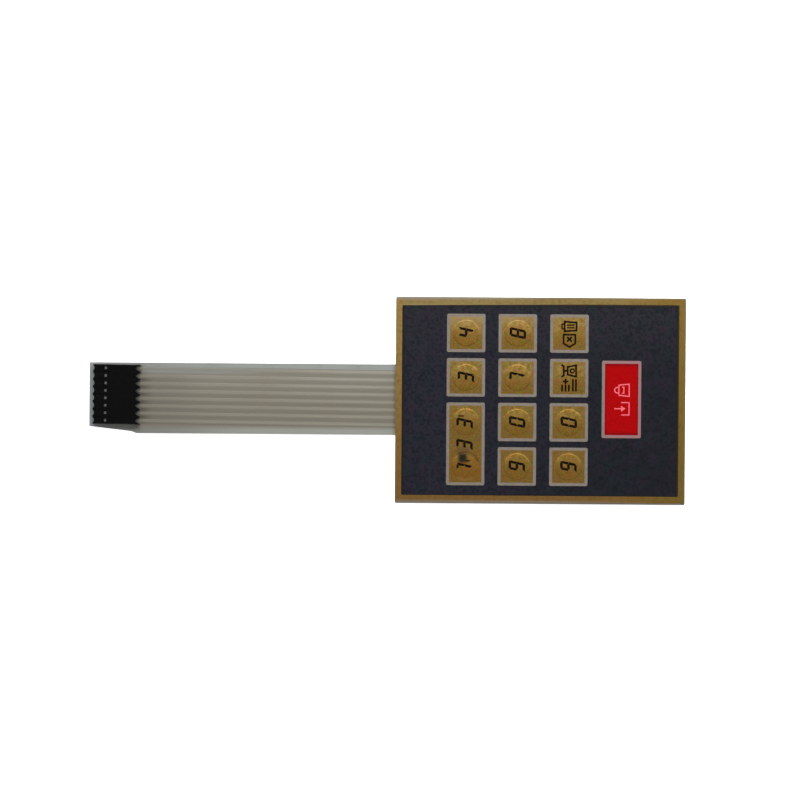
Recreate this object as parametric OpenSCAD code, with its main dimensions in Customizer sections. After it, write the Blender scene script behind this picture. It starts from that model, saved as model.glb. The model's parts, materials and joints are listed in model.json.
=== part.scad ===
// Membrane keypad: a laminated film panel with snap domes under its keys, a printed
// circuit tail and an eight-way receptacle crimped through the end of the tail.
// The origin is the centre of the panel's back face. +X points away from the tail,
// +Y to the first row of keys and +Z out of the keyed face.

/* [Panel] */
// Length of the laminated panel
panel_l = 98.2; // [92:0.1:130]
// Width of the laminated panel
panel_w = 69.2; // [68:0.1:100]
// Corner radius of the panel
panel_r = 0.5; // [0.3:0.1:1.5]
// Lip of the release liner past the panel on the three sides without the tail
liner_lip = 0.6; // [0.2:0.1:2]

/* [Layers] */
// Thickness of the release liner
liner_t = 0.12; // [0.08:0.01:0.25]
// Thickness of the rear adhesive
rear_adhesive_t = 0.15; // [0.15:0.01:0.3]
// Thickness of the circuit film and its tail
film_t = 0.175; // [0.1:0.005:0.3]
// Thickness of the printed conductors
ink_t = 0.04; // [0.02:0.01:0.08]
// Thickness of the dome spacer
spacer_t = 0.5; // [0.4:0.02:0.8]
// Thickness of the film that holds the domes
retainer_t = 0.08; // [0.05:0.01:0.15]
// Thickness of the adhesive under the overlay
overlay_adhesive_t = 0.1; // [0.05:0.01:0.2]
// Thickness of the graphic overlay
overlay_t = 0.25; // [0.18:0.01:0.4]
// Thickness of the printed colour fields
print_t = 0.04; // [0.02:0.01:0.08]

/* [Print] */
// Width of the gold border
border_w = 2; // [1:0.1:3]
// Sideways registration error of the whole print against the cut edge
print_dx = 0.15; // [-0.5:0.05:0.5]
// Lengthwise registration error of the whole print against the cut edge
print_dy = 0.25; // [-0.5:0.05:0.5]
// Corner radius of the dark field inside the border
field_r = 0.5; // [0.2:0.1:2]

/* [Keys] */
// Side of a square key over its outline
key_size = 13.05; // [12.5:0.05:14.5]
// Width of the grey outline round a key
outline_w = 1; // [0.5:0.05:1.4]
// Corner radius of a key outline
key_r = 0.6; // [0.2:0.1:1.5]
// Distance between key columns
column_pitch = 17.55; // [16:0.05:19]
// Distance between key rows
row_pitch = 15.1; // [14.7:0.05:15.5]
// Offset of the key grid from the middle of the print
grid_dx = 1; // [-1:0.1:2]
// Width of the red key across its short side
red_key_w = 13.35; // [12.5:0.05:14.5]
// Length of the red key
red_key_l = 26.3; // [16:0.1:40]
// Offset of the red key from the middle of the print, along its length
red_key_dy = 0.4; // [-2:0.1:2]
// Offset of the red key and its dome from the fourth column
red_key_dx = 0.3; // [-0.5:0.1:1]

/* [Embossing] */
// Diameter of the embossed ring on a digit key, at its crest
ring_d = 8.3; // [8:0.1:9.2]
// Width of the embossed ring at its foot
ring_w = 0.8; // [0.6:0.1:1.2]
// Height of the embossed ring
ring_h = 0.14; // [0.13:0.01:0.25]
// Height of the raised disc inside the ring
pillow_h = 0.11; // [0.03:0.01:0.12]

/* [Domes] */
// Diameter of a snap dome
dome_d = 8.4; // [7:0.1:9]
// Sheet thickness of a snap dome
dome_t = 0.08; // [0.05:0.01:0.12]
// Headroom between a dome and the film above it
dome_headroom = 0.05; // [0.02:0.01:0.1]
// Play round a dome in its hole in the spacer
dome_play = 0.25; // [0.1:0.05:0.5]
// Width of the channels that let the domes breathe into each other
vent_w = 1.2; // [0.6:0.1:2]
// Play round a dome in the adhesive under the overlay
adhesive_relief = 1.3; // [1:0.1:1.5]

/* [Circuit] */
// Width of a conductor in the tail
lane_w = 0.85; // [0.6:0.05:1.05]
// Width of a conductor in the panel
track_w = 0.8; // [0.4:0.05:1]
// Distance between neighbouring conductors that run along the panel's edge
bus_pitch = 2; // [1.6:0.1:2.4]
// Distance from the panel's edge to the outermost conductor
bus_inset = 2.6; // [2:0.1:3.5]
// Diameter of the contact pad under the middle of a dome
pad_d = 2.4; // [1.5:0.1:3.5]
// Width of the contact ring under the rim of a dome
contact_ring_w = 0.9; // [0.6:0.1:1.2]
// Gap between a column conductor and the halves of a contact ring
ring_gap = 0.5; // [0.3:0.05:0.8]

/* [Tail] */
// Length of the tail from the panel's edge
tail_l = 104.4; // [60:0.1:200]
// Width of the tail
tail_w = 24.1; // [23.6:0.1:28]
// Sideways offset of the conductors from the middle of the tail, where it leaves the panel
lane_dy = 0.25; // [0:0.05:0.6]
// Sideways drift of the conductors and the receptacle over the whole length of the tail
lane_drift = 1; // [0:0.05:1.2]
// Length of the trimmed corner at the end of the tail
trim_l = 16.2; // [10:0.1:25]
// Length of the slanted step where the trimmed corner starts
trim_step_l = 2; // [1:0.1:4]
// Depth of the slanted step
trim_step = 0.7; // [0.3:0.05:1]
// Depth of the trimmed corner at the very end
trim_end = 2.3; // [1:0.05:2.5]
// Thickness of the cover strip over the tail's conductors
cover_t = 0.05; // [0.03:0.01:0.12]
// Clearance of the conductors and the cover strip from the receptacle
ink_clearance = 0.3; // [0.1:0.05:0.6]
// Margin of the cover strip past the outer conductors
cover_margin = 0.4; // [0.2:0.05:0.8]

/* [Receptacle] */
// Number of ways, one for each of the panel's rows and columns
ways = 8; // [8:1:8]
// Pitch of the ways
way_pitch = 2.54; // [2.5:0.01:2.6]
// Length of the housing
housing_l = 16; // [15.5:0.1:20]
// Height of the housing above the tail
housing_h = 2.6; // [2.5:0.05:3.5]
// Distance from the end of the tail to the housing's mating face
housing_inset = 1.5; // [0.5:0.05:3]
// Chamfer along the housing's long top edges
housing_chamfer = 0.3; // [0.1:0.05:0.4]
// Thickness of the wall at the mating face
front_wall = 1.3; // [1.1:0.05:1.6]
// Thickness of the floor under the spring boxes
cell_floor = 0.35; // [0.3:0.05:0.5]
// Width of a contact cell
cell_w = 2; // [1.95:0.01:2.1]
// Height of a contact cell above its floor
cell_h = 1.6; // [1.55:0.01:1.7]
// Length of the closed front part of the housing
closed_l = 8; // [7.8:0.1:9]
// Diameter of a pin entry
entry_d = 0.9; // [0.8:0.05:1.1]
// Diameter of the lead-in of a pin entry
lead_in_d = 1.4; // [1.2:0.05:1.6]
// Depth of the scallop in front of each pin entry
scallop_depth = 0.5; // [0.3:0.05:0.6]
// Radius of the scallop in front of each pin entry
scallop_r = 1.15; // [1:0.05:1.2]
// Side of the square window over each contact's lance
window_size = 1; // [0.9:0.05:1.2]
// Distance from the mating face to the middle of the windows
window_u = 4.25; // [3.9:0.05:4.8]
// Depth of the notches between the rear teeth
rear_notch = 1.6; // [0.6:0.1:2]
// Length of the shallow flutes on the front of the housing
flute_l = 5.9; // [3:0.1:7]
// Depth of the flutes
flute_depth = 0.15; // [0.05:0.01:0.2]
// Width of a rear notch at its bottom
notch_tip = 0.5; // [0.3:0.05:1]
// Width of a rear tooth at its tip
tooth_tip = 0.15; // [0.1:0.05:0.4]

/* [Contacts] */
// Sheet thickness of a contact
contact_t = 0.2; // [0.15:0.01:0.25]
// Play of the spring box in its cell, on each side
box_play = 0.1; // [0.05:0.01:0.15]
// Gap between the front wall and the spring box
box_gap = 0.1; // [0.05:0.05:0.15]
// Length of the spring box
box_l = 6; // [5.6:0.05:6.2]
// Length of the spring leaf inside the box
leaf_l = 4.4; // [4:0.1:5]
// Width of the spring leaf inside the box
leaf_w = 0.9; // [0.6:0.05:1.1]
// Sag of the spring leaf
leaf_sag = 0.4; // [0.2:0.05:0.45]
// Width of the lance
lance_w = 0.8; // [0.5:0.05:0.85]
// Length of the flat top of the lance
lance_top = 0.6; // [0.3:0.05:0.7]
// Length of the neck that slopes down from the closed part of the housing to the film
neck_l = 1; // [0.8:0.05:1.1]
// Length of the crimped floor of a contact
crimp_l = 5.6; // [5:0.1:6]
// Outer width over the tines of a contact
tine_span = 1.5; // [1.45:0.01:1.7]
// Length of one tine along the tail
tine_l = 0.9; // [0.6:0.05:1.1]
// Pairs of tines on a contact
tine_pairs = 3; // [2:1:3]
// Reach of a clinched tine under the film
clinch_reach = 0.5; // [0.3:0.05:0.6]
// Play of a tine in its slit
slit_play = 0.03; // [0.02:0.01:0.04]

/* [Hidden] */
$fn = 96;
EPS = 0.01;
COLUMNS = 4;
ROWS = 4;
DIGIT_COLUMNS = COLUMNS - 1;

// Levels of the stack, from the surface that the panel lies on
z_rear_adhesive = liner_t;
z_film = z_rear_adhesive + rear_adhesive_t;
z_ink = z_film + film_t;
z_spacer = z_ink + ink_t;
z_retainer = z_spacer + spacer_t;
z_overlay_adhesive = z_retainer + retainer_t;
z_overlay = z_overlay_adhesive + overlay_adhesive_t;
z_print = z_overlay + overlay_t;

// Keys and domes: each place is [column, row], and row 0 is the one nearest +Y
tall_key = [0, 2];
red_key = [3, 1];
square_keys = [
    for (c = [0:DIGIT_COLUMNS - 1])
        for (r = [0:ROWS - 1])
            if (c != tall_key[0] || r < tall_key[1]) [c, r]
];
tall_key_l = row_pitch + key_size;
function_key_rows = 2;
matrix_domes = [for (c = [0:DIGIT_COLUMNS - 1]) for (r = [0:ROWS - 1]) [c, r]];
ringed_domes = [for (p = matrix_domes) if (p[0] < DIGIT_COLUMNS - 1 || p[1] >= function_key_rows) p];
dome_h = spacer_t - dome_headroom;
dome_R = (dome_h * dome_h + dome_d * dome_d / 4) / (2 * dome_h);
ring_R = (ring_h * ring_h + ring_w * ring_w / 4) / (2 * ring_h);
embossed_d = ring_d + ring_w;

// The circuit
contact_ring_d = dome_d + 0.6;
tail_x = -panel_l / 2;
tail_end = tail_x - tail_l;
housing_x = tail_end + housing_inset;
housing_w = ways * way_pitch;
lane_start = housing_x + closed_l + ink_clearance;
cover_start = housing_x + housing_l + ink_clearance;
cover_w = (ways - 1) * way_pitch + lane_w + 2 * cover_margin;
tail_root = 6;
lane_lean = asin(lane_drift / tail_l);

// Contacts
box_u = front_wall + box_gap;
box_w = cell_w - 2 * box_play;
box_h = cell_h - 2 * box_play;
box_z = cell_floor + box_play;
crimp_u = closed_l + neck_l;
tine_pitch = (crimp_l - tine_l) / (tine_pairs - 1);
leaf_R = (leaf_sag * leaf_sag + leaf_l * leaf_l / 4) / (2 * leaf_sag);

LAYERS = ["release_liner", "rear_adhesive", "circuit_film", "circuit_traces", "tail_cover",
    "dome_spacer", "dome_retainer", "overlay_adhesive", "graphic_overlay"];
PRINTS = ["border_print", "key_outlines", "key_faces", "red_key_face"];
DOMES = concat([for (p = matrix_domes) str("dome_", p[0] + 1, "_", p[1] + 1)], ["dome_red"]);
CONTACTS = [for (i = [1:ways]) str("contact_", i)];

function column_x(c) =
    print_dx + grid_dx + (c - (COLUMNS - 1) / 2) * column_pitch + (c == red_key[0] ? red_key_dx : 0);
function row_y(r) = print_dy + ((ROWS - 1) / 2 - r) * row_pitch;
function red_key_y() = print_dy + red_key_dy;
function key_at(p) = [column_x(p[0]), p == red_key ? red_key_y() : row_y(p[1])];
function lane_y(i) = lane_dy + ((ways - 1) / 2 - i) * way_pitch;
function lane_depth(i) = min(i, ways - 1 - i);
function bus_x(i) = tail_x + bus_inset + lane_depth(i) * bus_pitch;
function bus_y(i) = panel_w / 2 - bus_inset - lane_depth(i) * bus_pitch;

module rounded_rect(l, w, r) {
    square([l, w - 2 * r], center = true);
    square([l - 2 * r, w], center = true);
    for (x = [-1, 1])
        for (y = [-1, 1])
            translate([x * (l / 2 - r), y * (w / 2 - r)])
                circle(r);
}

module panel_outline() {
    rounded_rect(panel_l, panel_w, panel_r);
}

module layer(z, t) {
    translate([0, 0, z])
        linear_extrude(t)
            children();
}

// A right-angled track of width w through the points, which follow X or Y in turn
module track(points, w) {
    for (k = [1:len(points) - 1]) {
        a = points[k - 1];
        b = points[k];
        translate([(a[0] + b[0]) / 2, (a[1] + b[1]) / 2])
            square([abs(a[0] - b[0]) + w, abs(a[1] - b[1]) + w], center = true);
    }
}

module at_places(places) {
    for (p = places)
        translate(key_at(p))
            children();
}

// The link from the last matrix dome of its row to the dome of the red key
function red_link() = [
    [column_x(red_key[0] - 1) + dome_d / 2, row_y(red_key[1])],
    [column_x(red_key[0]) - column_pitch / 2, row_y(red_key[1])],
    [column_x(red_key[0]) - column_pitch / 2, red_key_y()],
    [column_x(red_key[0]) - dome_d / 2, red_key_y()]
];

module release_liner() {
    color("#d8cfae")
        translate([liner_lip / 2, 0, 0])
            layer(0, liner_t)
                rounded_rect(panel_l + liner_lip, panel_w + 2 * liner_lip, panel_r);
}

module rear_adhesive() {
    color("#e2e0d4")
        layer(z_rear_adhesive, rear_adhesive_t)
            panel_outline();
}

// Turns its children about the root of the tail, as the conductors lean against the tail's edges
module lean() {
    translate([tail_x, lane_dy, 0])
        rotate([0, 0, -lane_lean])
            translate([-tail_x, -lane_dy, 0])
                children();
}

module tail_outline() {
    polygon([
        [tail_x + tail_root, tail_w / 2],
        [tail_end, tail_w / 2],
        [tail_end, trim_end - tail_w / 2],
        [tail_end + trim_l - trim_step_l, trim_step - tail_w / 2],
        [tail_end + trim_l, -tail_w / 2],
        [tail_x + tail_root, -tail_w / 2]
    ]);
}

module circuit_film() {
    color("#969a98")
        difference() {
            layer(z_film, film_t) {
                panel_outline();
                tail_outline();
            }
            for (i = [0:ways - 1])
                at_tines(i)
                    translate([0, 0, z_film + film_t / 2])
                        cube([tine_l + 2 * slit_play, contact_t + 2 * slit_play, film_t + 1], center = true);
        }
}

// The two halves of a contact ring, parted by the column conductor that runs between them
module contact_ring() {
    difference() {
        circle(d = contact_ring_d);
        circle(d = contact_ring_d - 2 * contact_ring_w);
        square([track_w + 2 * ring_gap, contact_ring_d + 1], center = true);
    }
}

// A conductor's stretch along the tail, as far as the panel
module tail_lane(lane) {
    lean()
        translate([lane_start, lane_y(lane) - lane_w / 2])
            square([tail_x + lane_w / 2 - lane_start, lane_w]);
}

module row_conductor(r) {
    lane = ways / 2 - ROWS / 2 + r;
    inset = contact_ring_d / 2 - contact_ring_w / 2;
    tail_lane(lane);
    track([[tail_x, lane_y(lane)], [bus_x(lane), lane_y(lane)], [bus_x(lane), row_y(r)],
        [column_x(0) - inset, row_y(r)]], track_w);
    for (c = [1:DIGIT_COLUMNS - 1])
        track([[column_x(c - 1) + inset, row_y(r)], [column_x(c) - inset, row_y(r)]], track_w);
    for (c = [0:DIGIT_COLUMNS - 1])
        translate([column_x(c), row_y(r)])
            contact_ring();
}

// Columns 0 and 1 are reached round the +Y edge, and columns 2 and 3 round the other edge
module column_conductor(c) {
    from_top = c < COLUMNS / 2;
    lane = from_top ? COLUMNS / 2 - 1 - c : ways - COLUMNS + c;
    edge_y = from_top ? bus_y(lane) : -bus_y(lane);
    far_y = c == red_key[0] ? red_key_y() : row_y(from_top ? ROWS - 1 : 0);
    tail_lane(lane);
    track([[tail_x, lane_y(lane)], [bus_x(lane), lane_y(lane)], [bus_x(lane), edge_y],
        [column_x(c), edge_y], [column_x(c), far_y]], track_w);
}

module circuit_traces() {
    color("#b9b6a8")
        layer(z_ink, ink_t) {
            for (r = [0:ROWS - 1])
                row_conductor(r);
            for (c = [0:COLUMNS - 1])
                column_conductor(c);
            at_places(concat(matrix_domes, [red_key]))
                circle(d = pad_d);
            track(red_link(), track_w);
            translate(key_at(red_key))
                contact_ring();
        }
}

// The strip is laminated over the tail's conductors, so it rises into a ridge over each one. It
// is cut off square at the panel's edge.
module tail_cover() {
    strip_l = tail_x + tail_root - cover_start;
    color("#837f74")
        difference() {
            lean()
                union() {
                    translate([cover_start, lane_dy - cover_w / 2, z_ink])
                        cube([strip_l, cover_w, cover_t]);
                    for (i = [0:ways - 1])
                        translate([cover_start, lane_y(i), z_ink + cover_t])
                            rotate([90, 0, 90])
                                linear_extrude(strip_l)
                                    polygon([
                                        [-lane_w / 2 - 2 * ink_t, 0],
                                        [lane_w / 2 + 2 * ink_t, 0],
                                        [lane_w / 2, ink_t],
                                        [-lane_w / 2, ink_t]
                                    ]);
                }
            for (i = [0:ways - 1])
                lean()
                    translate([cover_start - 1, lane_y(i) - lane_w / 2, z_ink - 1])
                        cube([strip_l + 2, lane_w, ink_t + 1]);
            translate([tail_x, -panel_w / 2, 0])
                cube([2 * tail_root, panel_w, z_print]);
        }
}

module dome_spacer() {
    color("#c9c9bf")
        layer(z_spacer, spacer_t)
            difference() {
                panel_outline();
                at_places(concat(matrix_domes, [red_key]))
                    circle(d = dome_d + 2 * dome_play);
                for (c = [0:DIGIT_COLUMNS - 1])
                    track([[column_x(c), row_y(0)], [column_x(c), row_y(ROWS - 1)]], vent_w);
                track([[column_x(0), row_y(red_key[1])], [column_x(2), row_y(red_key[1])]], vent_w);
                track(red_link(), vent_w);
            }
}

module snap_dome(p) {
    color("#b8bcc0")
        translate(concat(key_at(p), [z_spacer]))
            rotate_extrude()
                intersection() {
                    translate([0, dome_h - dome_R])
                        difference() {
                            circle(dome_R, $fn = 256);
                            circle(dome_R - dome_t, $fn = 256);
                        }
                    square([dome_d / 2, dome_h]);
                }
}

module dome_retainer() {
    color("#cfd4d2")
        layer(z_retainer, retainer_t)
            panel_outline();
}

module overlay_adhesive() {
    color("#dedbcc")
        layer(z_overlay_adhesive, overlay_adhesive_t)
            difference() {
                panel_outline();
                at_places(concat(matrix_domes, [red_key]))
                    circle(d = dome_d + 2 * adhesive_relief);
            }
}

// Half of the hollow that the press leaves under a sheet: a raised disc, and a ring round it
// that stands higher
module press_section() {
    intersection() {
        translate([ring_d / 2, ring_h - ring_R])
            circle(ring_R);
        translate([ring_d / 2 - ring_w, 0])
            square([2 * ring_w, ring_h + 1]);
    }
    square([ring_d / 2, pillow_h]);
}

// The embossed part of a sheet t thick, as far as the ring's foot
module embossed_disc(t) {
    rotate_extrude()
        difference() {
            union() {
                square([embossed_d / 2, t]);
                translate([0, t])
                    press_section();
            }
            press_section();
        }
}

// A sheet of thickness t at height z, in the outline of its children and embossed on the digit keys
module embossed_sheet(z, t) {
    layer(z, t)
        difference() {
            union()
                children();
            at_places(ringed_domes)
                circle(d = embossed_d);
        }
    translate([0, 0, z])
        at_places(ringed_domes)
            embossed_disc(t);
}

module graphic_overlay() {
    color("#26272c")
        embossed_sheet(z_overlay, overlay_t)
            panel_outline();
}

module border_print() {
    color("#8a7344")
        layer(z_print, print_t)
            difference() {
                panel_outline();
                translate([print_dx, print_dy])
                    rounded_rect(panel_l - 2 * border_w, panel_w - 2 * border_w, field_r);
            }
}

// The window of a key, inside its outline
module key_window(w, l) {
    square([w - 2 * outline_w, l - 2 * outline_w], center = true);
}

module key_outline(w, l) {
    difference() {
        rounded_rect(w, l, key_r);
        key_window(w, l);
    }
}

module at_tall_key() {
    translate([column_x(tall_key[0]), (row_y(tall_key[1]) + row_y(ROWS - 1)) / 2])
        children();
}

module key_outlines() {
    color("#8e8680")
        layer(z_print, print_t) {
            at_places(square_keys)
                key_outline(key_size, key_size);
            at_tall_key()
                key_outline(key_size, tall_key_l);
            at_places([red_key])
                key_outline(red_key_w, red_key_l);
        }
}

module key_faces() {
    color("#86693a")
        embossed_sheet(z_print, print_t) {
            at_places(square_keys)
                key_window(key_size, key_size);
            at_tall_key()
                key_window(key_size, tall_key_l);
        }
}

module red_key_face() {
    color("#a80d11")
        layer(z_print, print_t)
            at_places([red_key])
                key_window(red_key_w, red_key_l);
}

// A flat shape drawn in X and Z, w thick and centred on Y
module side_cut(w) {
    translate([0, w / 2, 0])
        rotate([90, 0, 0])
            linear_extrude(w)
                children();
}

// Places its children at the mating face of way i, on top of the film
module at_way(i) {
    lean()
        translate([housing_x, lane_y(i), z_ink])
            children();
}

// Places its children at the middle of each tine of contact i
module at_tines(i) {
    for (k = [0:tine_pairs - 1])
        for (side = [-1, 1])
            lean()
                translate([
                    housing_x + crimp_u + tine_l / 2 + k * tine_pitch,
                    lane_y(i) + side * (tine_span - contact_t) / 2,
                    0
                ])
                    children();
}

module housing_block() {
    lean()
        translate([housing_x, lane_dy, z_ink])
            rotate([90, 0, 90])
                linear_extrude(housing_l)
                    polygon([
                        [-housing_w / 2, 0],
                        [housing_w / 2, 0],
                        [housing_w / 2, housing_h - housing_chamfer],
                        [housing_w / 2 - housing_chamfer, housing_h],
                        [housing_chamfer - housing_w / 2, housing_h],
                        [-housing_w / 2, housing_h - housing_chamfer]
                    ]);
}

// Everything that is cut from the housing for one way
module way_cuts() {
    entry_z = cell_floor + cell_h / 2;
    translate([front_wall, -cell_w / 2, cell_floor])
        cube([housing_l, cell_w, cell_h]);
    translate([closed_l, -cell_w / 2, -1])
        cube([housing_l, cell_w, cell_floor + 2]);
    translate([scallop_depth - scallop_r, 0, -1])
        cylinder(h = housing_h + 2, r = scallop_r);
    translate([0, 0, entry_z])
        rotate([0, 90, 0]) {
            cylinder(h = front_wall + 1, d = entry_d);
            translate([0, 0, scallop_depth])
                cylinder(h = (lead_in_d - entry_d) / 2, d1 = lead_in_d, d2 = entry_d);
            cylinder(h = scallop_depth + EPS, d = lead_in_d);
        }
    translate([window_u, 0, cell_floor + cell_h])
        cube([window_size, window_size, 2 * (housing_h - cell_floor - cell_h) + 2], center = true);
    translate([housing_l - rear_notch, 0, -1])
        linear_extrude(housing_h + 2)
            polygon([
                [0, -notch_tip / 2],
                [rear_notch + EPS, -(way_pitch - tooth_tip) / 2],
                [rear_notch + EPS, (way_pitch - tooth_tip) / 2],
                [0, notch_tip / 2]
            ]);
}

module receptacle_housing() {
    color("#141413")
        difference() {
            housing_block();
            for (i = [0:ways - 1])
                at_way(i)
                    way_cuts();
            for (i = [1:ways - 1])
                lean()
                    translate([housing_x + scallop_depth, (lane_y(i - 1) + lane_y(i)) / 2, z_ink + housing_h])
                        rotate([45, 0, 0])
                            translate([flute_l / 2, 0, 0])
                                cube([flute_l, sqrt(2) * flute_depth, sqrt(2) * flute_depth], center = true);
        }
}

module spring_box() {
    difference() {
        translate([box_u, -box_w / 2, box_z])
            cube([box_l, box_w, box_h]);
        translate([box_u - 1, contact_t - box_w / 2, box_z + contact_t])
            cube([box_l + 2, box_w - 2 * contact_t, box_h - 2 * contact_t]);
    }
    // The spring leaf is an arc that hangs from the roof of the box
    roof = box_z + box_h - contact_t / 2;
    side_cut(leaf_w)
        intersection() {
            translate([box_u + box_l / 2, roof - leaf_sag + leaf_R])
                difference() {
                    circle(leaf_R);
                    circle(leaf_R - contact_t * 0.75);
                }
            translate([box_u + box_l / 2 - leaf_l / 2, roof - 1])
                square([leaf_l, 1]);
        }
}

// The lance springs up into the housing's window and keeps the contact from pulling out
module lance() {
    top = box_z + box_h - contact_t / 2;
    rise = housing_h - cell_floor - cell_h - 0.1;
    tip_u = window_u + window_size / 2 - 0.1;
    side_cut(lance_w)
        polygon([
            [tip_u - lance_top - contact_t, top],
            [tip_u, top],
            [tip_u, top + contact_t / 2 + box_play + rise],
            [tip_u - lance_top, top + contact_t / 2 + box_play + rise]
        ]);
}

module contact(i) {
    color("#b9b5a6")
        union() {
            at_way(i) {
                spring_box();
                lance();
                side_cut(tine_span)
                    polygon([
                        [box_u + box_l - EPS, box_z],
                        [closed_l, box_z],
                        [crimp_u, ink_t],
                        [crimp_u + crimp_l, ink_t],
                        [crimp_u + crimp_l, ink_t + contact_t],
                        [crimp_u, ink_t + contact_t],
                        [closed_l, box_z + contact_t],
                        [box_u + box_l - EPS, box_z + contact_t]
                    ]);
            }
            // Each tine goes down through its slit and is clinched inwards under the film
            at_tines(i)
                translate([0, 0, z_film - contact_t / 2])
                    translate([-tine_l / 2, -contact_t / 2, -contact_t / 2])
                        cube([tine_l, contact_t, film_t + ink_t + 1.5 * contact_t]);
            for (k = [0:tine_pairs - 1])
                for (side = [-1, 1])
                    lean()
                        translate([
                            housing_x + crimp_u + k * tine_pitch,
                            lane_y(i) + (side > 0 ? tine_span / 2 - clinch_reach : -tine_span / 2),
                            z_film - contact_t
                        ])
                            cube([tine_l, clinch_reach, contact_t]);
        }
}

release_liner();
rear_adhesive();
circuit_film();
circuit_traces();
tail_cover();
dome_spacer();
for (k = [0:len(matrix_domes) - 1])
    snap_dome(matrix_domes[k]);
snap_dome(red_key);  // dome_red
dome_retainer();
overlay_adhesive();
graphic_overlay();
border_print();
key_outlines();
key_faces();
red_key_face();
receptacle_housing();
for (i = [0:ways - 1])
    contact(i);
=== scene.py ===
import json
import math

import bmesh
import bpy
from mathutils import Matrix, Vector


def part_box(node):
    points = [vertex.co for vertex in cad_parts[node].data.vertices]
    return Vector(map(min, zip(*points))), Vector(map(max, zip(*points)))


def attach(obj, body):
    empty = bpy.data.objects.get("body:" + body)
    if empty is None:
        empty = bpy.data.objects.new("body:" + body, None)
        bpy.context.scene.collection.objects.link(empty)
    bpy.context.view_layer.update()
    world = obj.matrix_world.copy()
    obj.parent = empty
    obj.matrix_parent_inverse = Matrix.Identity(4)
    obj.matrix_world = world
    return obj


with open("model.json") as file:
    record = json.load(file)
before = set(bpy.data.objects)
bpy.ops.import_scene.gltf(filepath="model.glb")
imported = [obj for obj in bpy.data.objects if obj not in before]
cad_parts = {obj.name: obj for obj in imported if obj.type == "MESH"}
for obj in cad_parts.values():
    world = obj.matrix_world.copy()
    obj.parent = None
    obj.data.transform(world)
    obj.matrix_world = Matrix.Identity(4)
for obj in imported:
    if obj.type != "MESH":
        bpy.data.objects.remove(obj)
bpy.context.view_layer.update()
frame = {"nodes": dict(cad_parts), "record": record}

# The table and its light
# The keypad lies on a white lit table under a long lens. A window of soft light at the far side
# shows the embossing, a weak bounce fills in from the near side, and the room darkens above.
MM = 0.001
scene = bpy.context.scene
camera_data = bpy.data.cameras.new("camera")
camera_data.lens = 100
camera_data.sensor_width = 36
camera_data.clip_start = 0.01
camera = bpy.data.objects.new("camera", camera_data)
camera.location = Vector((-42.2, 4.5, 757.7)) * MM
camera.rotation_euler = [math.radians(turn) for turn in (-0.3445, 0.4068, 0.4279)]
scene.collection.objects.link(camera)
scene.camera = camera
scene.view_settings.view_transform = "Standard"


def soft_light(name, at, aim, size, power, colour):
    """A studio light of that width and height in metres, aimed at a point of the table."""
    lamp = bpy.data.lights.new(name, "AREA")
    lamp.shape = "RECTANGLE"
    lamp.size, lamp.size_y = size
    lamp.energy = power
    lamp.color = colour
    holder = bpy.data.objects.new(name, lamp)
    holder.location = at
    holder.rotation_euler = (Vector(aim) - Vector(at)).to_track_quat("-Z", "Y").to_euler()
    scene.collection.objects.link(holder)


soft_light("window_light", at=(0.03, 0.27, 0.30), aim=(0, 0, 0), size=(0.65, 0.16), power=3.0,
           colour=(1, 0.98, 0.95))
soft_light("bounce_light", at=(-0.05, -0.7, 0.5), aim=(-0.05, 0, 0), size=(0.8, 0.8), power=1.2,
           colour=(0.96, 0.98, 1))

room = bpy.data.worlds.new("white_room")
room.use_nodes = True
room_nodes = room.node_tree.nodes
room_links = room.node_tree.links
sky_direction = room_nodes.new("ShaderNodeTexCoord")
sky_parts = room_nodes.new("ShaderNodeSeparateXYZ")
sky_height = room_nodes.new("ShaderNodeMapRange")
sky_height.interpolation_type = "SMOOTHSTEP"
for socket, level in (("From Min", 0.2), ("From Max", 1), ("To Min", 1.1), ("To Max", 0.24)):
    sky_height.inputs[socket].default_value = level
room_links.new(sky_direction.outputs["Generated"], sky_parts.inputs["Vector"])
room_links.new(sky_parts.outputs["Z"], sky_height.inputs["Value"])
room_links.new(sky_height.outputs["Result"], room_nodes["Background"].inputs["Strength"])
room_nodes["Background"].inputs["Color"].default_value = (0.97, 0.985, 1, 1)
scene.world = room

table_reach = 1.6
table_corners = [(-table_reach, -table_reach, 0), (table_reach, -table_reach, 0),
                 (table_reach, table_reach, 0), (-table_reach, table_reach, 0)]
table_mesh = bpy.data.meshes.new("table_top")
table_mesh.from_pydata(table_corners, [], [(0, 1, 2, 3)])
table_top = bpy.data.objects.new("table_top", table_mesh)
table_top.location.z = -0.02 * MM
scene.collection.objects.link(table_top)
table_paint = bpy.data.materials.new("white_lit_table")
table_paint.use_nodes = True
table_shader = table_paint.node_tree.nodes["Principled BSDF"]
table_shader.inputs["Base Color"].default_value = (0.94, 0.94, 0.94, 1)
table_shader.inputs["Roughness"].default_value = 0.9
table_shader.inputs["Specular IOR Level"].default_value = 0.2
table_shader.inputs["Emission Color"].default_value = (1, 1, 1, 1)
table_shader.inputs["Emission Strength"].default_value = 0.6
table_mesh.materials.append(table_paint)


# Release liner
# A sheet of silicone-coated glassine paper, die-cut with a narrow lip past the panel so that a
# finger can find its edge. It is greyish tan with faint fibres, and darker along its lips.
nodes = frame["nodes"]
RIGHT = Vector((1, 0, 0))
LEFT = -RIGHT
FAR = Vector((0, 1, 0))
NEAR = -FAR


def shade(red, green, blue):
    """A colour for a shader's socket, from the 0 to 255 values that a paint card gives."""
    def linear(value):
        value /= 255
        return value / 12.92 if value <= 0.04045 else ((value + 0.055) / 1.055) ** 2.4
    return (linear(red), linear(green), linear(blue), 1)


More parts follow.
